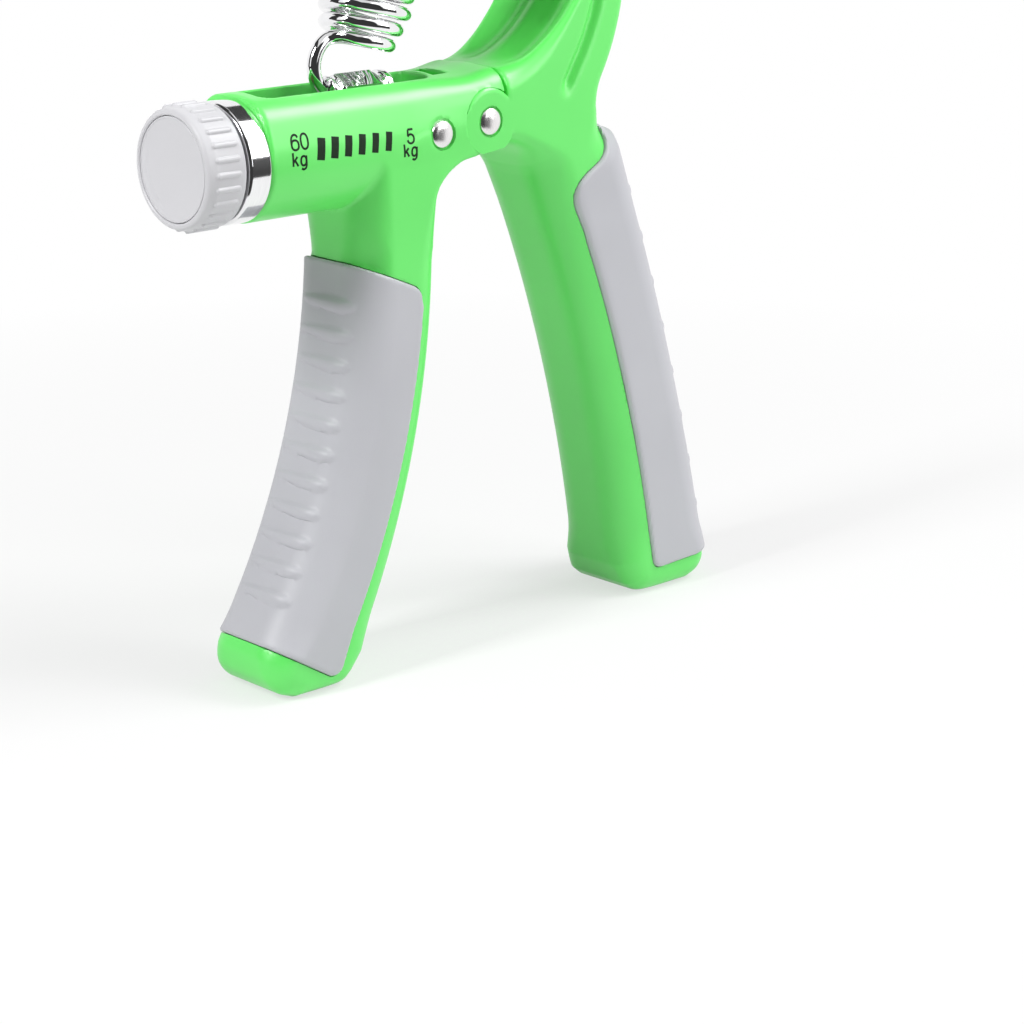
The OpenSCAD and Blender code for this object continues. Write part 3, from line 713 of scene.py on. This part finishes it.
def rear_shell(x, y, z):
    """Rear handle: ears of the hinge, arch with its forked eye, leg with the cover's bed"""
    side = np.abs(y)
    leg = rear_leg(x, y, z)
    to_pin = np.hypot(x - ANCHOR[0], z - ANCHOR[1])
    eye = round_cut(to_pin - EYE_R, side - EYE_HALF, 0.8)
    body = round_join(leg, eye, 2.0)
    cut_back = np.maximum(x - SEAM_X - SEAM_GAP, z - HINGE_TOP)
    body = round_cut(body, -cut_back, 0.5)
    disc = np.hypot(x - PIVOT[0], z - PIVOT[1])
    ear = np.maximum(disc - EAR_R, 105.8 + 0.12 * x - z)
    body = np.minimum(body, round_cut(ear, side - HUB_HALF, 0.05 + 0.75 * ramp_up(z, 112.0, 117.5)))
    pocket = np.minimum(disc - EAR_R - 0.1, cut_back)
    body = round_cut(body, -np.maximum(pocket, side - TONGUE_HALF - 0.4), 0.3)
    body = np.maximum(body, -np.maximum(disc - HEAD_SEAT_R, HEAD_SEAT_Y - side))
    body = round_cut(body, -np.maximum(to_pin - EYE_R - 0.7, side - FORK_HALF), 0.3)
    zone = outline_gap(x, z, rear_zone)
    return round_cut(body, -np.maximum(zone, -leg - BED), 0.25)


def rear_cover(x, y, z):
    """Cover of the rear leg, with a wide row of low pods on its outer face"""
    ridges = ridge_height(REAR_OUTER.along(x, z), y, 12.0, 11.2, 8, 9.6, 2.4, 0.7)
    facing = ramp_up(REAR_OUTER.gap(x, z), -9.0, -4.0)
    return cover(rear_leg(x, y, z), outline_gap(x, z, rear_zone), ridges * facing)


CELL = 0.55
skins = [
    ("front_shell", front_shell, (-60, -13.6, -0.5), (7.5, 13.6, 125), "front", green_shell,
     "green_shell", "front_handle"),
    ("rear_shell", rear_shell, (-23, -13.6, -0.5), (72, 13.6, 167.5), "rear", green_shell,
     "green_shell", "rear_handle"),
    ("front_cover", front_cover, (-61, -13.6, 2.0), (-16, 13.6, 89), "front", grey_cover,
     "grey_cover", "front_grip"),
    ("rear_cover", rear_cover, (22, -13.6, 3.0), (73.5, 13.6, 110), "rear", grey_cover,
     "grey_cover", "rear_grip"),
]
for name, field, low, high, body, finish, slot, node in skins:
    skin = lay_skin(field, low, high, CELL)
    make_piece(name, [skin], body, finish, [node])
    print(name, 2 * len(skin[1]), "triangles")


# ---------------------------------------------------------------- knob, its face and the ferrule
KNOB_FRONT, KNOB_BACK = -70.9, -61.75
KNOB_R = 12.0
RIBS, RIB_X, RIB_HALF, RIB_RISE = 26, (-69.1, -63.3), 0.56, 0.45


def round_profile(corners, steps=5):
    """Points of a profile whose corners, each (x, r, radius), are rounded to their radius"""
    out = [corners[0][:2]]
    for before, corner, after in zip(corners, corners[1:], corners[2:]):
        if corner[2]:
            out.extend(rounded_corner(before[:2], corner[:2], after[:2], corner[2], steps))
        else:
            out.append(corner[:2])
    out.append(corners[-1][:2])
    return np.array(out, dtype=float)


def divided(profile, longest):
    """The same profile with points added until no step is longer than a length"""
    out = [profile[0]]
    for a, b in zip(profile[:-1], profile[1:]):
        n = max(1, int(np.ceil(np.linalg.norm(b - a) / longest)))
        out.extend(a + (b - a) * k / n for k in range(1, n + 1))
    return np.array(out)


def knob_ribs(x, r, a):
    """Ribs round the knob: each a pill that stands out from the rim, with rounded ends"""
    pitch = 2.0 * math.pi / RIBS
    off = (a - pitch * np.round(a / pitch)) * KNOB_R
    beyond = np.maximum(np.maximum(RIB_X[0] + RIB_HALF - x, x - RIB_X[1] + RIB_HALF), 0.0)
    gap = np.hypot(off, beyond) / RIB_HALF
    rise = RIB_RISE * np.sqrt(np.clip(1.0 - gap ** 2.5, 0.0, 1.0))
    return r + np.where(r > KNOB_R - 0.6, rise, 0.0)


knob_profile = round_profile([
    (KNOB_FRONT + 1.3, 0.0, 0), (KNOB_FRONT + 1.3, 10.22, 0), (KNOB_FRONT + 0.25, 10.32, 0.12),
    (KNOB_FRONT, 10.6, 0.25), (KNOB_FRONT + 0.25, 11.5, 0.9), (KNOB_FRONT + 2.1, KNOB_R, 1.6),
    (KNOB_BACK - 0.1, KNOB_R, 0.7), (KNOB_BACK, 10.0, 0.3), (KNOB_BACK, 3.1, 0), (KNOB_BACK, 0.0, 0)])
make_piece("knob_body", [turned(divided(knob_profile, 0.16), knob_ribs, 26 * 22)], "knob", grey_knob,
           ["knob"])

FACE_R = 10.18
face_steps = np.linspace(0.0, 1.0, 26)
face_profile = np.stack([KNOB_FRONT + 0.95 - 0.72 * face_steps ** 2, FACE_R * face_steps], axis=1)
face_profile = np.vstack([face_profile[:-1], round_profile([
    (KNOB_FRONT + 0.24, FACE_R - 0.4, 0), (KNOB_FRONT + 0.2, FACE_R, 0.2),
    (KNOB_FRONT + 1.2, FACE_R, 0), (KNOB_FRONT + 1.2, 0.0, 0)])])


def face_shape():
    """Dished disc with a shallow moulded arc near its left edge"""
    points, faces = turned(face_profile, sides=120)
    r = np.hypot(points[:, 1], points[:, 2] - AXIS_Z)
    a = np.degrees(np.arctan2(points[:, 2] - AXIS_Z, -points[:, 1]))
    round_way = np.abs((a - 205.0 + 180.0) % 360.0 - 180.0)
    mark = np.clip(1.0 - ((r - 8.6) / 0.45) ** 2, 0.0, 1.0) * (1.0 - ramp_up(round_way, 40.0, 52.0))
    points[:, 0] -= 0.12 * mark * (points[:, 0] < KNOB_FRONT + 1.0)
    return points, faces


make_piece("knob_face", [face_shape()], "knob", grey_knob, ["knob_face_cap"])

ferrule_profile = round_profile([
    (-55.97, 9.9, 0), (-61.15, 9.9, 0), (-61.15, 11.6, 0.3), (-60.7, 12.0, 0.4), (-56.1, 12.0, 0.3),
    (-55.97, 11.6, 0.1), (-55.97, 9.9, 0)])
ferrule_ring = turned(divided(ferrule_profile, 0.3), sides=160)
make_piece("ferrule", [ferrule_ring], "front", ring_chrome, ["knob_ferrule"])


# ---------------------------------------------------------------- rivets
def rivet_head(seat, shank):
    """A domed head on a shank, turned round X; the head faces -X from its seat"""
    angle = np.linspace(0.0, 1.0, 12)
    dome = np.stack([-(seat + 1.15 * (1.0 - angle ** 2.2)), 2.86 * np.sin(angle * math.pi / 2)], axis=1)
    tail = round_profile([(-seat, 2.86, 0), (-seat + 0.12, 2.95, 0), (-seat + 0.5, 2.95, 0),
                          (-seat + 0.5, 1.9, 0), (-shank, 1.9, 0), (-shank, 0.0, 0)])
    return turned(np.vstack([dome, tail]), sides=64, place=(0.0, 0.0))


for label, body, (x, z) in (("pivot", "rear", PIVOT), ("bearing", "front", BEARING)):
    for side, far, node in (("near", False, f"{label}_rivet"), ("far", True, f"{label}_rivet_cap")):
        head = onto_y(rivet_head(11.7, 9.0), x, z, far)
        make_piece(f"{label}_head_{side}", [head], body, rivet_steel, [node])


# ---------------------------------------------------------------- spring and its carrier
COIL_LEAN = math.radians(18.7)
COIL_AXIS = np.array([math.sin(COIL_LEAN), 0.0, math.cos(COIL_LEAN)])
COIL_BACK = np.array([-math.cos(COIL_LEAN), 0.0, math.sin(COIL_LEAN)])
COIL_BASE = np.array([-24.8, 0.0, 128.75])
COIL_PITCH, COIL_GROW, COIL_END_R, COIL_MID_R = 3.3, 0.82, 6.2, 9.0
COIL_FROM, COIL_TO = 60.0, 1700.0
WIRE_R = 1.425


def coil_point(a):
    """A coil whose radius grows from each end to its middle, at an angle in degrees"""
    a = np.asarray(a, dtype=float)[:, None]
    radius = np.minimum(COIL_MID_R, np.minimum(COIL_END_R + COIL_GROW * a / 360.0,
                                               COIL_END_R + COIL_GROW * 1.7 * (COIL_TO - a) / 360.0))
    turn = np.radians(a)
    return (COIL_BASE + COIL_AXIS * COIL_PITCH * a / 360.0
            + radius * (COIL_BACK * np.cos(turn) - np.array([0.0, 1.0, 0.0]) * np.sin(turn)))


def on_circle(centre, radius, degrees):
    """Points of a circle in the XZ plane, at angles from +X towards +Z"""
    a = np.radians(np.asarray(degrees, dtype=float))
    return np.stack([centre[0] + radius * np.cos(a), 0.0 * a, centre[1] + radius * np.sin(a)], axis=-1)


def link(p, u, q, v, count):
    """Inner points of a cubic between two points with given end directions"""
    t = (np.arange(1, count + 1) / (count + 1))[:, None]
    p, u, q, v = (np.asarray(w, dtype=float) for w in (p, u, q, v))
    return (p * (1 - t) ** 3 + (p + u) * 3 * t * (1 - t) ** 2 + (q - v) * 3 * t ** 2 * (1 - t)
            + q * t ** 3)


low_hook = on_circle((-29.6, 125.0), 6.0, np.arange(258, 117, -7))
coil = coil_point(np.arange(COIL_FROM, COIL_TO + 1, 10.0))
top_hook = on_circle(ANCHOR, 2.0 + WIRE_R + 0.12, np.arange(190, -36, -9))
coil_in = (coil[1] - coil[0]) / np.linalg.norm(coil[1] - coil[0])
coil_out = (coil[-1] - coil[-2]) / np.linalg.norm(coil[-1] - coil[-2])
into_coil = link(low_hook[-1], (2.2, 0, 0.9), coil[0], coil_in * 2.2, 5)
out_of_coil = link(coil[-1], coil_out * 4, top_hook[0], (0.6, 0, 8), 16)
half = len(coil) // 2
lower_path = np.vstack([low_hook, into_coil, coil[:half + 1]])
upper_path = np.vstack([coil[half:], out_of_coil, top_hook])
spring_lower = make_piece("spring_lower", [tube(lower_path, WIRE_R)], None, chrome,
                          ["tension_spring"])
spring_upper = make_piece("spring_upper", [tube(upper_path, WIRE_R)], None, chrome,
                          ["tension_spring"])
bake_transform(spring_lower)
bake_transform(spring_upper)

BAR_Z = 119.0


def bar_section(x, r, a):
    """Six flats on the middle of the bar, round elsewhere"""
    flat = math.pi / 6
    near_flat = (a + flat) % (2 * flat) - flat
    hexagon = r * math.cos(flat) / np.cos(near_flat)
    share = ramp_up(x, -31.0, -30.2) * (1.0 - ramp_up(x, -21.2, -20.6))
    return r * (1.0 - share) + hexagon * share


bar_profile = round_profile([
    (-29.0, 0.0, 0), (-29.0, 2.2, 0), (-33.1, 2.2, 0.3), (-33.1, 4.2, 0.5), (-31.9, 4.2, 0.45),
    (-31.9, 3.4, 0.2), (-31.2, 3.4, 0.2), (-30.6, 4.35, 0.5), (-21.0, 4.35, 0.5), (-20.4, 3.1, 0.3),
    (-19.8, 3.1, 0.2), (-19.5, 4.2, 0.4), (-17.7, 4.2, 0.6), (-17.7, 0.0, 0)])
bar = turned(divided(bar_profile, 0.4), bar_section, 96, (0.0, BAR_Z))
core_profile = round_profile([
    (-26.0, 0.0, 0), (-26.0, 5.0, 0), (-36.0, 5.0, 0), (-36.0, 7.3, 0.4), (-25.0, 7.3, 0.4),
    (-25.0, 3.5, 0.2), (-25.5, 3.5, 0), (-25.5, 0.0, 0)])
core = turned(core_profile, sides=96)


def neck_box(low, high):
    """A box between two corners, as six quads"""
    corner = np.array([(x, y, z) for z in (low[2], high[2]) for x, y in
                       ((low[0], low[1]), (high[0], low[1]), (high[0], high[1]), (low[0], high[1]))])
    return corner, np.array([(3, 2, 1, 0), (4, 5, 6, 7), (0, 1, 5, 4), (1, 2, 6, 5), (2, 3, 7, 6),
                             (3, 0, 4, 7)])


neck = neck_box((-31.2, -4.0, 115.0), (-25.2, 4.0, 118.6))
make_piece("carrier_bar", [bar, core, neck], "carrier", chrome, ["spring_carrier"])


# ---------------------------------------------------------------- printed scale
INK_UP, INK_DOWN = 0.035, 0.12
STROKE = 0.42


def on_barrel(x, z):
    """Y of the barrel's near side at (x, z), by stepping inwards along the distance field"""
    y = np.full(np.shape(x), -14.0)
    for _ in range(12):
        y = y + front_body(x, y, z, 50.0)
    return y


def ribbon(path, width, closed=False):
    """A stroke of ink: a flat bar of a width along a path of (x, z), laid on the barrel"""
    path = np.asarray(path, dtype=float)
    way = (np.roll(path, -1, 0) - np.roll(path, 1, 0)) if closed else np.gradient(path, axis=0)
    way /= np.linalg.norm(way, axis=1, keepdims=True)
    off = np.stack([-way[:, 1], way[:, 0]], axis=1) * width / 2
    left, right = path + off, path - off
    y_left, y_right = on_barrel(*left.T), on_barrel(*right.T)
    rings = np.stack([np.stack([p[:, 0], y + lift, p[:, 1]], axis=1) for p, y, lift in (
        (left, y_left, -INK_UP), (right, y_right, -INK_UP), (right, y_right, INK_DOWN),
        (left, y_left, INK_DOWN))], axis=1)
    faces = grid_faces(len(path), 4, round_rows=closed)
    if not closed:
        last = 4 * (len(path) - 1)
        faces = np.vstack([faces, [(3, 2, 1, 0)], [(last, last + 1, last + 2, last + 3)]])
    return rings.reshape(-1, 3), faces


def ring_path(cx, cz, rx, rz, squareness=2.3, points=28):
    """A closed loop, an ellipse drawn out towards its corners"""
    t = np.linspace(0, 2 * math.pi, points, endpoint=False)
    c, s = np.cos(t), np.sin(t)
    return np.stack([cx + rx * np.sign(c) * np.abs(c) ** (2 / squareness),
                     cz + rz * np.sign(s) * np.abs(s) ** (2 / squareness)], axis=1)


def straight(a, b, points=8):
    """Evenly spaced points from one place to another"""
    return np.linspace(a, b, points)


# Strokes of each character on a height of 1, left edge at 0: (path, whether it is closed)
GLYPHS = {
    "6": [(smooth_path([(0.62, 0.80), (0.52, 0.95), (0.34, 1.0), (0.16, 0.9), (0.06, 0.68),
                        (0.04, 0.42)]), 0),
          (ring_path(0.34, 0.32, 0.30, 0.32), 1)],
    "0": [(ring_path(0.34, 0.5, 0.30, 0.5), 1)],
    "5": [(straight((0.60, 0.98), (0.14, 0.98)), 0), (straight((0.14, 0.98), (0.08, 0.5)), 0),
          (smooth_path([(0.08, 0.5), (0.2, 0.6), (0.38, 0.63), (0.57, 0.53), (0.64, 0.33), (0.56, 0.1),
                        (0.36, 0.0), (0.16, 0.05), (0.04, 0.24)]), 0)],
    "k": [(straight((0.06, 0.0), (0.06, 1.0)), 0), (straight((0.08, 0.3), (0.46, 0.68)), 0),
          (straight((0.22, 0.44), (0.52, 0.0)), 0)],
    "g": [(ring_path(0.28, 0.34, 0.25, 0.34), 1),
          (smooth_path([(0.54, 0.7), (0.54, 0.3), (0.54, -0.02), (0.47, -0.22), (0.28, -0.3),
                        (0.09, -0.22)]), 0)],
}


def word(text, centre, height, step):
    """Characters side by side about a centre (x, z), each a step of its height from the last"""
    whole = step * (len(text) - 1) + 0.66
    left = centre[0] - whole * height / 2
    return [ribbon(np.array([left, centre[1] - height / 2]) + height * (path + [step * k, 0.0]),
                   STROKE, bool(closed))
            for k, letter in enumerate(text) for path, closed in GLYPHS[letter]]


SCALE_BARS = 6
first_bar, last_bar = np.array([-43.9, 111.4, 1.9, 4.2]), np.array([-26.8, 111.0, 1.55, 3.7])
scale = []
for k in range(SCALE_BARS):
    x, z, width, height = first_bar + (last_bar - first_bar) * k / (SCALE_BARS - 1)
    lean = 0.075 * height
    scale.append(ribbon(straight((x - lean, z - height / 2), (x + lean, z + height / 2), 10), width))
scale += word("60", (-49.0, 113.3), 2.85, 0.82) + word("kg", (-49.3, 110.1), 2.6, 0.76)
scale += word("5", (-21.2, 111.4), 2.75, 0.86) + word("kg", (-21.3, 108.7), 2.5, 0.78)
make_piece("load_scale", scale, "front", black_ink)


# ---------------------------------------------------------------- studio
def shader_tree(block):
    """The empty node tree of a material or world"""
    block.use_nodes = True
    block.node_tree.nodes.clear()
    return block.node_tree


def seen_directly(tree):
    """1 where a camera, glossy or transmission ray arrives, 0 for light that falls on the object"""
    camera, glossy, through = (add_node(tree, "ShaderNodeLightPath", out=f"Is {kind} Ray")
                               for kind in ("Camera", "Glossy", "Transmission"))
    return camera.greater(glossy.greater(through))


def mixed(tree, factor, first, second):
    """A mix of two shaders: all the first where the factor is 0, all the second where it is 1"""
    return add_node(tree, "ShaderNodeMixShader", inputs=(factor, first, second))


def floor_finish():
    """White paper: near the object it shows the lamps' light and shadow, far from it plain white"""
    material = bpy.data.materials.new("floor_paper")
    tree = shader_tree(material)
    paper = add_node(tree, "ShaderNodeBsdfDiffuse", Color=(0.8, 0.8, 0.8, 1.0))
    glow = add_node(tree, "ShaderNodeEmission", Strength=1.0)
    place = add_node(tree, "ShaderNodeTexCoord", out="Object")
    length = add_node(tree, "ShaderNodeVectorMath", {"operation": "LENGTH"}, "Value", Vector=place)
    share = add_node(tree, "ShaderNodeMapRange", Value=length, From_Min=0.09, From_Max=0.35,
                     To_Min=0.64, To_Max=1.0)
    surface = mixed(tree, seen_directly(tree) * share, paper, glow)
    add_node(tree, "ShaderNodeOutputMaterial", Surface=surface)
    return material


def card_finish(level):
    """A card that glows evenly, at a strength"""
    material = bpy.data.materials.new("studio_card")
    tree = shader_tree(material)
    glow = add_node(tree, "ShaderNodeEmission", Strength=level)
    add_node(tree, "ShaderNodeOutputMaterial", Surface=glow)
    return material


def add_stage(name, corners, finish):
    """A flat panel of the set, by its four corners in mm"""
    mesh = bpy.data.meshes.new(name)
    mesh.from_pydata([[v * MM for v in c] for c in corners], [], [(0, 1, 2, 3)])
    mesh.materials.append(finish)
    obj = bpy.data.objects.new(name, mesh)
    bpy.context.collection.objects.link(obj)
    return obj


def add_card(name, corners, level):
    """A panel that only reflections see"""
    card = add_stage(name, corners, card_finish(level))
    card.visible_camera = card.visible_diffuse = card.visible_shadow = False
    card.visible_transmission = card.visible_volume_scatter = False


def set_world(fill):
    """White where it is seen, dimmer as a light"""
    world = bpy.data.worlds.new("studio")
    bpy.context.scene.world = world
    tree = shader_tree(world)
    white = (1.0, 1.0, 1.0, 1.0)
    light = add_node(tree, "ShaderNodeBackground", Color=white, Strength=fill)
    seen = add_node(tree, "ShaderNodeBackground", Color=white, Strength=1.0)
    add_node(tree, "ShaderNodeOutputWorld", Surface=mixed(tree, seen_directly(tree), light, seen))


def add_softbox(name, place_mm, target_mm, size_mm, watts):
    """A rectangular lamp that faces a target"""
    data = bpy.data.lights.new(name, "AREA")
    data.shape = "RECTANGLE"
    data.size, data.size_y = [v * MM for v in size_mm]
    data.energy = watts
    lamp = bpy.data.objects.new(name, data)
    place, target = np.array(place_mm, dtype=float), np.array(target_mm, dtype=float)
    lamp.location = place * MM
    lamp.rotation_euler = Vector(target - place).to_track_quat("-Z", "Y").to_euler()
    bpy.context.collection.objects.link(lamp)


add_stage("floor", [(-4000, -4000, 0), (4000, -4000, 0), (4000, 4000, 0), (-4000, 4000, 0)],
          floor_finish())
set_world(0.16)
add_softbox("key_box", (517, -332, 789), (0, 0, 100), (380, 380), 5.1)
add_softbox("top_box", (-60, -260, 950), (0, 0, 80), (900, 900), 1.9)
add_softbox("left_box", (-690, 0, 600), (0, 0, 90), (150, 360), 5.2)
add_softbox("front_box", (400, -790, 380), (0, 0, 90), (420, 620), 2.9)
add_card("card_high", [(180, -43, 592), (400, -43, 592), (400, 305, 486), (180, 305, 486)], 0.06)
add_card("card_low", [(10, -149, 44), (100, -149, 44), (100, -149, 140), (10, -149, 140)], 0.06)
add_card("dark_room", [(-3535, 33, 0), (255, -3523, 0), (255, -3523, 2600), (-3535, 33, 2600)], 0.04)
add_card("dark_roof", [(-3537, 28, 2600), (-840, -2502, 2600), (1623, 123, 2600), (-1074, 2653, 2600)],
         0.04)
add_card("dark_ground", [(-3537, 28, 1), (253, -3528, 1), (1792, -1887, 1), (-1998, 1669, 1)], 0.04)
add_card("flag_left", [(-1460, 498, 0), (-1090, 1092, 0), (-1090, 1092, 1600), (-1460, 498, 1600)], 0.04)

bpy.context.scene.view_settings.view_transform = "Standard"
